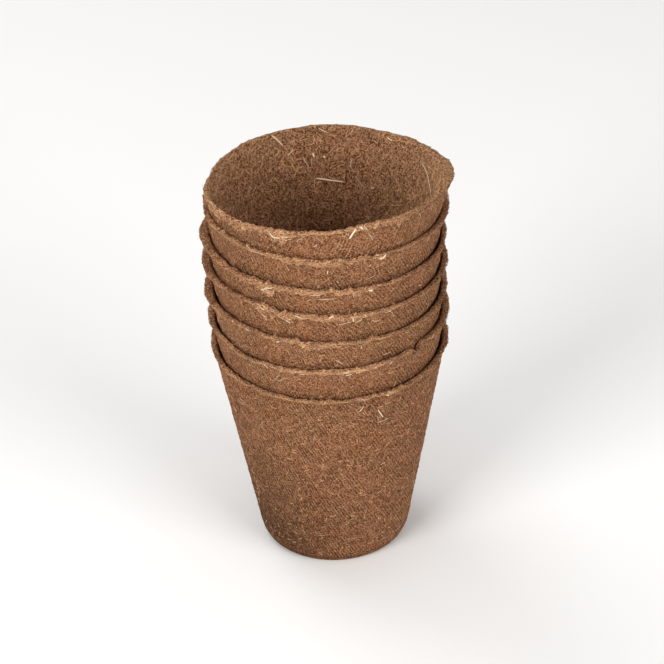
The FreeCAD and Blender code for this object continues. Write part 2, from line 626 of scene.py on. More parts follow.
    def point(self, bearing: np.ndarray, drop: np.ndarray, proud: np.ndarray) -> np.ndarray:
        """Places points on or near the wall.

        Args:
            bearing: Bearings in radians.
            drop: Distances below the rim.
            proud: Distances out from the wall's outer face.

        Returns:
            Places in millimetres in the stack's frame, in the last axis.
        """
        rim = self.rim
        loose = np.clip(1 - drop / self.band, 0, 1)
        bend = loose ** self.bend_power
        outward = self.flare(bearing, drop) + bend * self.sway * self.slow.at(bearing, drop)
        reach = self.mouth_radius - self.taper * drop + proud + outward
        height = self.height - drop + self.crest(bearing, drop)
        height = height + self.swell(bearing, "upward", drop)
        slant, nod = math.tan(math.radians(rim.slant)), math.tan(math.radians(rim.nod))
        height = height - bend * (slant * np.cos(bearing) + nod * np.sin(bearing)) * reach
        x, y = reach * np.cos(bearing), reach * np.sin(bearing)
        return np.stack([x, y, height + self.floor_level], -1)

    def skin(self, bearing: np.ndarray, drop: np.ndarray) -> np.ndarray:
        """Small unevenness of the felt, more of it in the loosened band.

        Args:
            bearing: Bearings in radians.
            drop: Distances below the rim.

        Returns:
            Distances outwards in millimetres.
        """
        rough = self.roughness + self.loose_roughness * np.clip(1 - drop / self.band, 0, 1)
        return rough * self.fine.at(bearing, drop) + rough * self.medium.at(bearing, drop)


class Side(Enum):
    """Which face of the wall something lies on."""

    OUTSIDE = 1
    INSIDE = -1


@dataclass
class Grid:
    """A closed surface of revolution, bent: rows of points all the way round."""

    columns: int
    rows: list = field(default_factory=list)
    flat: list = field(default_factory=list)
    lip: list = field(default_factory=list)
    screen: list = field(default_factory=list)
    painted_shade: list = field(default_factory=list)

    def add(self, points: np.ndarray, flat: np.ndarray, lip: np.ndarray, screen: float,
            painted_shade: np.ndarray | float = 0.0) -> None:
        """Adds a row of points with its unrolled places and shades.

        Args:
            points: Places in millimetres, one for each column.
            flat: Unrolled places of the columns and one more.
            lip: How much of the lip's colour shows; inside, how much painted light pales the wall.
            screen: How much of the mould screen's print shows.
            painted_shade: How much painted shade darkens the felt.
        """
        self.rows.append(points)
        self.flat.append(flat)
        self.lip.append(np.broadcast_to(lip, (self.columns,)))
        self.screen.append(np.full(self.columns, screen))
        self.painted_shade.append(np.broadcast_to(painted_shade, (self.columns,)))

    def mesh(self, name: str) -> Mesh:
        """Makes the mesh, in metres, closed at both poles.

        Args:
            name: The mesh's name.

        Returns:
            A mesh with the unrolled map and the shade attributes.
        """
        rows, columns = len(self.rows), self.columns
        poles = [self.rows[0].mean(0)[None], self.rows[-1].mean(0)[None]]
        points = np.concatenate(self.rows + poles)
        corner = np.arange(columns)
        after = (corner + 1) % columns
        lower = np.arange(rows - 1)[:, None] * columns
        upper = lower + columns
        quads = np.stack([lower + corner, lower + after, upper + after, upper + corner], -1)
        first_pole, last_pole, last_row = rows * columns, rows * columns + 1, (rows - 1) * columns
        under = np.stack([np.full(columns, first_pole), after, corner], -1)
        over = np.stack([np.full(columns, last_pole), last_row + corner, last_row + after], -1)
        mesh = bpy.data.meshes.new(name)
        faces = quads.reshape(-1, 4).tolist() + under.tolist() + over.tolist()
        mesh.from_pydata((points * MM).tolist(), [], faces)
        flat = np.stack(self.flat)
        wall = np.stack([flat[:-1, :-1], flat[:-1, 1:], flat[1:, 1:], flat[1:, :-1]], 2)
        centre = np.zeros((columns, 2))
        under_flat = np.stack([centre, flat[0, 1:], flat[0, :-1]], 1)
        over_flat = np.stack([centre, flat[-1, :-1], flat[-1, 1:]], 1)
        layer = mesh.uv_layers.new(name=FLAT_MAP)
        unrolled = np.concatenate([part.ravel() for part in (wall, under_flat, over_flat)])
        layer.uv.foreach_set("vector", unrolled.astype(np.float32))
        shades = {Shade.LIP: self.lip, Shade.SCREEN: self.screen, Shade.PAINTED_SHADE: self.painted_shade}
        for shade, values in shades.items():
            attribute = mesh.attributes.new(shade.value, "FLOAT", "POINT")
            all_values = np.concatenate(values + [values[0][:1], values[-1][:1]])
            attribute.data.foreach_set("value", all_values.astype(np.float32))
        mesh.shade_smooth()
        mesh.update()
        return mesh


@dataclass
class StrandSet:
    """Thin fibres as three-sided tapered rods, joined in one mesh."""

    paths: list = field(default_factory=list)
    ups: list = field(default_factory=list)
    widths: list = field(default_factory=list)
    tones: list = field(default_factory=list)

    def add(self, path: np.ndarray, up: np.ndarray, width: np.ndarray, tone: np.ndarray) -> None:
        """Adds fibres that have the same number of steps.

        Args:
            path: Places in millimetres, as (fibre, step, 3).
            up: Directions away from the wall, of the same shape.
            width: Each fibre's width in millimetres.
            tone: How pale each fibre is.
        """
        self.paths.append(path)
        self.ups.append(up)
        self.widths.append(width)
        self.tones.append(tone)

    def mesh(self, name: str) -> Mesh:
        """Makes the mesh, in metres.

        Args:
            name: The mesh's name.

        Returns:
            A mesh of closed rods.
        """
        points, tones, faces, start = [], [], [], 0
        for path, up, width, tone in zip(self.paths, self.ups, self.widths, self.tones):
            count, steps, _ = path.shape
            along = np.gradient(path, axis=1)
            along /= np.linalg.norm(along, axis=2, keepdims=True) + 1e-9
            side = np.cross(along, up)
            side /= np.linalg.norm(side, axis=2, keepdims=True) + 1e-9
            over = np.cross(side, along)
            way = np.linspace(0.0, 1.0, steps)
            # Both ends taper to about a third of the width
            ease = np.clip(np.minimum(way, 1 - way) * 6 + 0.35, 0, 1)
            half = (width[:, None] * ease[None] / 2)[..., None]
            ring = np.stack([path + side * half, path + over * half * 0.9, path - side * half], 2)
            points.append(ring.reshape(-1, 3))
            tones.append(np.repeat(tone, steps * 3))
            base = start + (np.arange(count)[:, None] * steps + np.arange(steps - 1)[None]) * 3
            for edge, beside in ((0, 1), (1, 2), (2, 0)):
                after = base + 3
                quad = np.stack([base + edge, base + beside, after + beside, after + edge], -1)
                faces += quad.reshape(-1, 4).tolist()
            first = start + np.arange(count) * steps * 3
            last = first + (steps - 1) * 3
            faces += np.stack([first + 2, first + 1, first], -1).tolist()
            faces += np.stack([last, last + 1, last + 2], -1).tolist()
            start += count * steps * 3
        mesh = bpy.data.meshes.new(name)
        mesh.from_pydata((np.concatenate(points) * MM).tolist(), [], faces)
        attribute = mesh.attributes.new(Shade.STRAND.value, "FLOAT", "POINT")
        attribute.data.foreach_set("value", np.concatenate(tones).astype(np.float32))
        mesh.shade_smooth()
        mesh.update()
        return mesh


@dataclass(frozen=True)
class Straw:
    """One straw or hair that the photograph shows, by the middle of its length."""

    bearing: float
    drop: float
    heading: float
    length: float
    width: float
    tone: float = 0.7
    curl: float = 0.0
    lift: float = 0.3


@dataclass(frozen=True)
class NapKind:
    """How one face's wood fibres lie: their length, their width and how many are pale."""

    stretch: float
    thickness: float
    pale_share: float


# The screen presses the outside's fibres in, and the inside's dry longer and thicker
NAPS = {Side.OUTSIDE: NapKind(1.0, 1.0, 0.11), Side.INSIDE: NapKind(1.12, 1.2, 0.22)}
# The torn lip's rows, lowest first: share of its hang, drop below that, share of its reach
LIP_ROWS = (
    (1.0, 0.3, -1.0), (1.0, 0.1, -0.9), (1.0, 0.0, 0.3), (0.97, 0.0, 0.8), (0.88, 0.0, 1.0),
    (0.7, 0.0, 1.0), (0.45, 0.0, 0.92), (0.24, 0.0, 0.8), (0.12, 0.0, 0.65), (0.04, 0.0, 0.4),
)
# The rim's rows, over the edge and down inside: drop, share of the wall's thickness, share of
# the flare that the inner face has given back, share of the lip's paleness
EDGE_ROWS = (
    (-0.08, 0.1, 0.0, 1.0), (-0.1, 0.35, 0.12, 1.0), (-0.08, 0.62, 0.35, 1.0),
    (-0.02, 0.86, 0.65, 0.9), (0.2, 0.97, 0.88, 0.6), (0.8, 1.0, 1.0, 0.3),
    (2.1, 1.0, 1.0, 0.1), (3.4, 1.0, 1.0, 0.0),
)


@dataclass
class PeatPot:
    """One pot: its felted shell, its nap of wood fibre and its straws."""

    node: str
    seed: int
    rim: RimCharacter
    outer_straws: tuple = ()
    inner_straws: tuple = ()
    # The shell's points all the way round, and its rows up the wall and down inside
    columns: int = 800
    wall_rows: int = 68
    inner_rows: int = 58
    base_edge_rows: int = 6
    floor_corner_rows: int = 5
    # Where the wall's rows start, in rounds of the base's edge, and how far under the lip they end
    wall_start: float = 1.25
    lip_clearance: float = 0.35
    # How strong the screen's print is, and 1 or -1 for which way it leans
    print_depth: float = 1.05
    print_way: float = 1.0
    # Paler felt outside towards the rim, painted light that pales the wall inside near the rim
    # and at the sides, and painted shade that darkens the foot, with their depths and heights
    painted_rim_light: float = 0.2
    painted_side_light: float = 0.0
    painted_side_light_depth: float = 60.0
    outer_rim_paling: float = 0.16
    paling_reach: float = 14.0
    painted_shade: float = 0.0
    painted_shade_height: float = 55.0
    painted_shade_fade: float = 45.0
    # How many fibres and straws
    outer_nap: int = 5000
    inner_nap: int = 2500
    lip_nap: int = 1300
    fluff_count: int = 360
    longest_fluff: float = 2.4
    straw_count: int = 60
    form: PotForm = field(init=False)

    def __post_init__(self) -> None:
        """Seats the pot where its solid stands."""
        lowest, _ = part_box(self.node)
        self.form = PotForm(self.seed, lowest.z / MM, self.rim)

    def unroll(self, radius: float) -> np.ndarray:
        """Unrolls a ring of the cone flat, x to the right and y up, seen from outside.

        Args:
            radius: The ring's radius.

        Returns:
            Flat places in millimetres for the ring's columns and one more, from the back round.
        """
        slope = math.sin(math.atan(self.form.taper))
        turn = np.linspace(-math.pi, math.pi, self.columns + 1) * slope
        return radius / slope * np.stack([self.print_way * np.sin(turn), np.cos(turn)], -1)

    def painted_inner_light(self, bearing: np.ndarray, drop: np.ndarray) -> np.ndarray:
        """How much painted light pales the wall inside, most near the rim and on the left and
        right.

        Args:
            bearing: Bearings in radians.
            drop: Distances below the rim.

        Returns:
            Values from nought to one.
        """
        sideways = np.cos(bearing) ** 2
        fading = np.exp(-np.maximum(drop, 0) / self.paling_reach)
        near_rim = self.painted_rim_light * (0.3 + 0.7 * sideways) * fading
        high = np.clip(1 - drop / self.painted_side_light_depth, 0, 1)
        return near_rim + self.painted_side_light * sideways * high

    def painted_shade_at(self, bearing: np.ndarray, drop: np.ndarray | float) -> np.ndarray:
        """How much painted shade darkens the wall outside, most at the foot on the left.

        Args:
            bearing: Bearings in radians.
            drop: Distances below the rim.

        Returns:
            Values from nought to one.
        """
        left = np.clip(0.42 - 0.9 * np.cos(bearing), 0, 1)
        low = np.clip((self.painted_shade_height - self.form.height + drop) / self.painted_shade_fade, 0, 1) ** 1.2
        return self.painted_shade * left * low

    def disc(self, grid: Grid, radius: float, level: float, screen: float) -> None:
        """Adds one level ring of the base or the floor to the grid.

        Args:
            grid: The shell so far.
            radius: The ring's radius.
            level: The ring's height above the pot's underside.
            screen: How much of the mould screen's print the ring has, nought inside.
        """
        around = math.pi / 2 + np.linspace(0, math.tau, self.columns + 1)
        flat = radius * np.stack([np.cos(around), np.sin(around)], -1)
        height = np.full((self.columns, 1), level + self.form.floor_level)
        # Painted shade at the foot, on the outside rings only
        painted_shade = screen * self.painted_shade_at(around[:-1], self.form.height - level)
        grid.add(np.concatenate([flat[:-1], height], 1), flat, 0.0, screen, painted_shade)

    def shell(self) -> Mesh:
        """Makes the felted shell, from the underside up over the lip and down to the floor.

        Returns:
            The shell's mesh.
        """
        grid = Grid(self.columns)
        bearing = math.pi / 2 + np.linspace(0, math.tau, self.columns, endpoint=False)
        self._outside(grid, bearing)
        self._rim(grid, bearing)
        self._inside(grid, bearing)
        return grid.mesh(f"{self.node}_shell")

    def _outside(self, grid: Grid, bearing: np.ndarray) -> None:
        """Adds the underside, the base's rounded edge and the wall up to the lip.

        Args:
            grid: The shell so far.
            bearing: Bearings of the columns, in radians.
        """
        form = self.form
        foot = form.base_radius - form.base_round
        for share in (0.02, 0.2, 0.4, 0.6, 0.8, 1.0):
            self.disc(grid, foot * share, 0.0, 1.0)
        for step in range(1, self.base_edge_rows + 1):
            turn = (math.pi / 2 - math.atan(form.taper)) * step / self.base_edge_rows
            radius = foot + form.base_round * math.sin(turn)
            self.disc(grid, radius, form.base_round * (1 - math.cos(turn)), 1.0)
        lowest = form.height - form.base_round * self.wall_start
        highest = form.lip_hang(bearing) + self.lip_clearance
        for step in range(self.wall_rows):
            share = step / (self.wall_rows - 1)
            # The rows lie closer together towards the lip
            share = share * (1.35 - 0.35 * share)
            drop = lowest + (highest - lowest) * share
            flat = self.unroll(form.mouth_radius - form.taper * drop.mean())
            # Outside, the felt is paler towards the rim, and painted shade darkens the foot on the
            # left
            grid.add(form.point(bearing, drop, form.skin(bearing, drop)), flat,
                     self.outer_rim_paling * np.exp(-drop / self.paling_reach), self.print_depth,
                     self.painted_shade_at(bearing, drop))

    def _rim(self, grid: Grid, bearing: np.ndarray) -> None:
        """Adds the torn lip and the rim's edge.

        Args:
            grid: The shell so far.
            bearing: Bearings of the columns, in radians.
        """
        form, flat = self.form, self.unroll(self.form.mouth_radius)
        hang, reach, tone = form.lip_hang(bearing), form.lip_reach(bearing), form.lip_tone(bearing)
        level = np.zeros_like(bearing)
        frayed = 0.06 * form.fine.at(bearing, level + FRAY_ROW)
        frayed = frayed + 0.04 * form.medium.at(bearing, level + CURL_ROW)
        for share, below, out in LIP_ROWS:
            drop = hang * share + below
            # Palest at the rim, and down to the felt's own brown under the lip
            paleness = np.clip(1.5 + 1.2 * tone - 1.6 * share - 9.0 * below, 0, 1)
            wavy = form.fine.at(bearing, FRAY_ROW + drop * 2.0) * 0.05
            # Only what stands out of the wall is frayed
            torn = (frayed + wavy) * max(0.0, min(1.0, out + 0.3))
            grid.add(form.point(bearing, drop, reach * out + torn), flat, tone * paleness, 0.0)
        for below, inward, filled, paleness in EDGE_ROWS:
            drop = level + below
            face = 0.05 * form.fine.at(bearing, drop * 2 + EDGE_ROW)
            face = face - form.wall * inward - filled * form.flare(bearing, drop)
            # The edge takes the paler of the lip's tone and the painted light inside
            grid.add(form.point(bearing, drop, face), flat,
                     np.maximum(tone * paleness, self.painted_inner_light(bearing, drop)), 0.0)

    def _inside(self, grid: Grid, bearing: np.ndarray) -> None:
        """Adds the wall inside, the corner and the floor.

        Args:
            grid: The shell so far.
            bearing: Bearings of the columns, in radians.
        """
        form, level, edge_end = self.form, np.zeros_like(bearing), EDGE_ROWS[-1][0]
        corner = form.height - form.base_thickness - form.floor_round
        for step in range(1, self.inner_rows + 1):
            drop = level + edge_end + (corner - edge_end) * step / self.inner_rows
            face = form.skin(bearing + 1.0, drop) - form.wall - form.flare(bearing, drop)
            flat = self.unroll(form.mouth_radius - form.taper * drop.mean())
            # Painted light pales the wall inside, near the rim and at the sides
            grid.add(form.point(bearing, drop, face), flat, self.painted_inner_light(bearing, drop), 0.0)
        inner_foot = (form.base_radius - form.wall
                      + form.taper * (form.base_thickness + form.floor_round))
        for step in range(1, self.floor_corner_rows + 1):
            turn = math.pi / 2 * step / self.floor_corner_rows
            self.disc(grid, inner_foot - form.floor_round * (1 - math.cos(turn)),
                      form.base_thickness + form.floor_round * (1 - math.sin(turn)), 0.0)
        for share in (0.8, 0.6, 0.4, 0.2, 0.02):
            self.disc(grid, (inner_foot - form.floor_round) * share, form.base_thickness, 0.0)

    def lying(self, side: Side, bearing: np.ndarray, drop: np.ndarray, heading: np.ndarray,
              length: np.ndarray, curl: np.ndarray, lift: np.ndarray, steps: int) -> tuple:
        """Lays fibres along the wall.

        Args:
            side: The face of the wall.
            bearing: Bearings of the middles, in radians.
            drop: Drops of the middles.
            heading: Directions in the wall, in radians from level.
            length: Lengths.
            curl: Turns of heading from end to end, in radians.
            lift: Heights of the middles above the felt.
            steps: Points along each fibre.

        Returns:
            Paths and upward directions, each as (fibre, step, 3).
        """
        form = self.form
        way = np.linspace(-0.5, 0.5, steps)[None]
        angle = heading[:, None] + curl[:, None] * way
        pace = length[:, None] / (steps - 1)
        across = np.cumsum(np.cos(angle) * pace, 1)
        down = np.cumsum(np.sin(angle) * pace, 1)
        across -= across.mean(1, keepdims=True)
        down -= down.mean(1, keepdims=True)
        theta = bearing[:, None] + across / (form.mouth_radius - form.taper * drop[:, None])
        fall = drop[:, None] + down
        if side is Side.OUTSIDE:
            fall = np.clip(fall, 0.1, form.height - form.base_round * 1.4)
            on_lip = np.clip((form.lip_hang(theta) - fall) / 0.3, 0, 1)
            face = form.skin(theta, fall) + on_lip * form.lip_reach(theta)
        else:
            fall = np.clip(fall, 0.1, form.height - form.base_thickness - form.floor_round)
            edge = np.clip(fall / 0.6, 0, 1) ** 0.5
            depth = form.wall * (0.5 + 0.5 * edge)
            face = form.skin(theta + 1.0, fall) - depth - edge * form.flare(theta, fall)
        # A fibre arches over the felt and sinks its ends in it
        rise = lift[:, None] * (1 - (2 * way) ** 2) - 0.02
        path = form.point(theta, fall, face + side.value * rise)
        up = np.stack([np.cos(theta), np.sin(theta), np.zeros_like(theta)], -1) * side.value
        return path, up

    def nap(self, side: Side, count: int, draw: np.random.Generator) -> StrandSet:
        """Makes the nap of wood fibre on one face.

        Args:
            side: The face of the wall.
            count: How many fibres.
            draw: The pot's own chance.

        Returns:
            The fibres, a few of them pale and thick.
        """
        form, kind, strands = self.form, NAPS[side], StrandSet()
        reach = form.height - form.base_round * 1.6
        drop = 0.6 + (reach - 0.6) * draw.random(count) ** 1.08
        loose = np.clip(1 - drop / form.band, 0, 1)
        lift = 0.04 + 0.05 * draw.random(count) + loose * 0.12 * draw.random(count) ** 3
        length = (0.8 + draw.gamma(2.0, 0.5, count)) * kind.stretch
        bearing = draw.random(count) * math.tau
        path, up = self.lying(side, bearing, drop, draw.random(count) * math.pi,
                              length, draw.normal(0, 1.3, count), lift, 4)
        # The nap outside takes the same painted shade at the foot, and inside the same painted
        # light
        if side is Side.OUTSIDE:
            shade = -0.3 * self.painted_shade_at(bearing, drop)
        else:
            shade = self.painted_inner_light(bearing, drop)
        pale = draw.random(count) < kind.pale_share
        width = (0.1 + 0.13 * draw.random(count) ** 2 + pale * 0.11) * kind.thickness
        strands.add(path, up, width, draw.beta(0.9, 1.5, count) + pale * 0.42 + shade)
        return strands

    def lip_mat(self, draw: np.random.Generator, strands: StrandSet) -> None:
        """Adds the pale fibres that lie along the torn lip.

        Args:
            draw: The pot's own chance.
            strands: The fibres so far.
        """
        form = self.form
        bearing = draw.random(self.lip_nap) * math.tau
        bearing = bearing[draw.random(self.lip_nap) < 1.4 * form.lip_tone(bearing)]
        tone, count = form.lip_tone(bearing), len(bearing)
        drop = form.lip_hang(bearing) * (0.03 + 0.97 * draw.random(count) ** (1.8 - tone))
        path, up = self.lying(Side.OUTSIDE, bearing, drop, draw.normal(0, 0.12 + 0.45 * tone ** 2),
                              1.2 + draw.gamma(2.0, 0.7, count), draw.normal(0, 0.8, count),
                              0.06 + 0.18 * draw.random(count) ** 2, 6)
        width = 0.1 + 0.14 * draw.random(count) ** 2
        strands.add(path, up, width, 0.2 + (0.3 + 0.8 * tone) * draw.random(count))

    def fluff(self, draw: np.random.Generator, strands: StrandSet) -> None:
        """Adds the loose fibres that stand out of the torn lip.

        Args:
            draw: The pot's own chance.
            strands: The fibres so far.
        """
        form, steps = self.form, 6
        bearing = draw.random(self.fluff_count) * math.tau
        bearing = bearing[draw.random(self.fluff_count) < 1.8 * (form.lip_tone(bearing) - 0.25)]
        weight, count = form.lip_tone(bearing), len(bearing)
        hang, reach = form.lip_hang(bearing), form.lip_reach(bearing)
        share = draw.random(count) ** 0.8
        root = form.point(bearing, hang * share, reach * 0.7)
        outward = np.stack([np.cos(bearing), np.sin(bearing), np.zeros(count)], -1)
        level = np.stack([-np.sin(bearing), np.cos(bearing), np.zeros(count)], -1)
        length = (0.5 + draw.gamma(1.8, 0.42, count)) * (0.7 + 0.6 * weight)
        length = np.minimum(length, self.longest_fluff)
        first = level * np.sign(draw.normal(0, 1, (count, 1)))
        first = first + outward * (0.08 + 0.18 * draw.random((count, 1)))
        first[:, 2] += draw.normal(-0.05, 0.45, count)
        first /= np.linalg.norm(first, axis=1, keepdims=True)
        bend = draw.normal(0, 0.3, (count, 3)) - 0.25 * outward
        way = np.linspace(0, 1, steps)[None, :, None]
        line = first[:, None] * way + bend[:, None] * way ** 2
        path = root[:, None] + length[:, None, None] * line
        up = np.broadcast_to(outward[:, None], path.shape)
        width, palest = 0.07 + 0.1 * draw.random(count), np.clip(0.35 + 0.5 * weight, 0, 1)
        strands.add(path, up, width, palest * draw.random(count) ** 0.3)

    def straw(self, draw: np.random.Generator) -> StrandSet:
        """Makes the pale straws: some strewn by chance, and those that the photograph shows.

        Args:
            draw: The pot's own chance.

        Returns:
            The straws.
        """
        form, strands, some = self.form, StrandSet(), self.straw_count // 2
        for side in (Side.OUTSIDE, Side.INSIDE):
            drop = 1.0 + (form.height - 8.0) * draw.random(some)
            path, up = self.lying(side, draw.random(some) * math.tau, drop,
                                  draw.random(some) * math.pi, 1.0 + draw.gamma(1.5, 0.7, some),
                                  draw.normal(0, 0.8, some), 0.05 + 0.05 * draw.random(some), 7)
            width = 0.14 + 0.16 * draw.random(some) ** 2
            strands.add(path, up, width, 0.05 + 0.5 * draw.random(some) ** 2)
        one = np.ones(1)
        for side, rows in ((Side.OUTSIDE, self.outer_straws), (Side.INSIDE, self.inner_straws)):
            for own in (Straw(*row) for row in rows):
                path, up = self.lying(side, one * math.radians(own.bearing), one * own.drop,
                                      one * math.radians(own.heading), one * own.length,
                                      one * math.radians(own.curl), one * own.lift, 12)
                strands.add(path, up, one * own.width, one * own.tone)
        return strands

    def build(self, pulp: Material, fibre: Material, straw: Material) -> None:
        """Builds the pot's pieces and seats them on its body.

        Args:
            pulp: The shell's finish.
            fibre: The nap's finish.
            straw: The straws' finish.
        """
        draw = np.random.default_rng(self.seed)
        shell = self.shell()
        outer = self.nap(Side.OUTSIDE, self.outer_nap, draw)
        self.lip_mat(draw, outer)
        self.fluff(draw, outer)
        inner = self.nap(Side.INSIDE, self.inner_nap, draw)
        for mesh, finish in ((shell, pulp), (outer.mesh(f"{self.node}_outer_wood_fibres"), fibre),
                             (inner.mesh(f"{self.node}_inner_wood_fibres"), fibre),
                             (self.straw(draw).mesh(f"{self.node}_straws"), straw)):
            piece = add_object(mesh)
            mesh.materials.append(finish)
            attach(piece, self.node)
            if mesh is shell:
                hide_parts(self.node)
            log.info("%s: %d faces", mesh.name, len(mesh.polygons))


# Camera, light and floor

@dataclass(frozen=True)
class PhotoCamera:
    """The photograph's viewpoint, as measured from the pots' rims."""

    picture_side: int = 664
    focal_px: float = 2048.1
    distance: float = 700.0
    elevation: float = 32.83
    roll: float = -1.93
    target_level: float = 70.0
    target_px: tuple = (329.9, 354.9)

    def build(self) -> None:
        """Makes the camera and gives it to the scene."""
        data = bpy.data.cameras.new("photo_camera")
        data.sensor_width = 36.0
        data.lens = self.focal_px * data.sensor_width / self.picture_side
        data.clip_start, data.clip_end = 0.02, 20.0
        camera = add_object(data)
        lift = math.radians(self.elevation)
        target = Vector((0, 0, self.target_level * MM))
        away = Vector((0, -math.cos(lift), math.sin(lift)))
        centre = self.picture_side / 2
        pitch = math.atan((self.target_px[1] - centre) / self.focal_px)
        yaw = math.atan((self.target_px[0] - centre) / self.focal_px)
        turn = (Matrix.Rotation(math.pi / 2 - lift, 4, "X")
                @ Matrix.Rotation(math.radians(self.roll), 4, "Z")
                @ Matrix.Rotation(pitch, 4, "X") @ Matrix.Rotation(yaw, 4, "Y"))
        camera.matrix_world = Matrix.Translation(target + away * self.distance * MM) @ turn
        bpy.context.scene.camera = camera


@dataclass(frozen=True)
class Softbox:
    """One large soft light, aimed at the stack's middle, placed in metres."""

    name: str
    place: tuple
    side: float
    power: float
    aim_level: float = 0.07

    def build(self) -> None:
        """Makes the light."""
        data = bpy.data.lights.new(self.name, "AREA")
        data.size = self.side
        data.energy = self.power
        light = add_object(data)
        light.location = self.place
        aim = Vector((0, 0, self.aim_level)) - Vector(self.place)
        light.rotation_euler = aim.to_track_quat("-Z", "Y").to_euler()


@dataclass(frozen=True)
class Studio:
    """A pale floor under soft light."""

    floor_side: float = 8.0
    floor_white: str = "#FBFAF8"
    floor_roughness: float = 0.9
    room_white: str = "#FFFFFF"
    room_glow: float = 0.22
    lights: tuple = (
        Softbox("key_softbox", (-1.15, -1.2, 0.8), 0.9, 24.0),
        Softbox("fill_softbox", (1.25, -1.15, 0.75), 1.1, 22.0),
        Softbox("top_softbox", (0.0, 0.0, 1.8), 1.2, 6.5),
        Softbox("back_softbox", (-0.8, 0.9, 1.3), 1.0, 8.5),
    )

    def build(self) -> None:
        """Makes the floor, the sky and the lights."""
        half = self.floor_side / 2
        corners = [(-half, -half, 0), (half, -half, 0), (half, half, 0), (-half, half, 0)]
        mesh = bpy.data.meshes.new("floor")
        mesh.from_pydata(corners, [], [(0, 1, 2, 3)])
        # Matt white paint: no shine, so the floor only sends soft light up
        paint, _, shader = new_finish("matt_white_sweep_painted")
        shader.inputs["Base Color"].default_value = linear(self.floor_white)
        shader.inputs["Roughness"].default_value = self.floor_roughness
        mesh.materials.append(paint)
        add_object(mesh)
        world = bpy.data.worlds.new("pale_room")
        bpy.context.scene.world = world
        world.use_nodes = True
        background = world.node_tree.nodes["Background"]
        background.inputs["Color"].default_value = linear(self.room_white)
        background.inputs["Strength"].default_value = self.room_glow
        for light in self.lights:
            light.build()
        bpy.context.scene.view_settings.view_transform = "Standard"


# Every rim sags a little at the front, and the lower six have worn alike at the sides
SAG = Swell(270, 55, upward=-0.15)
LOWER_WEAR = (Swell(335, 34, hang=-0.3, tone=-0.45), Swell(182, 18, tone=-0.25),
              Swell(209, 11, tone=0.25))

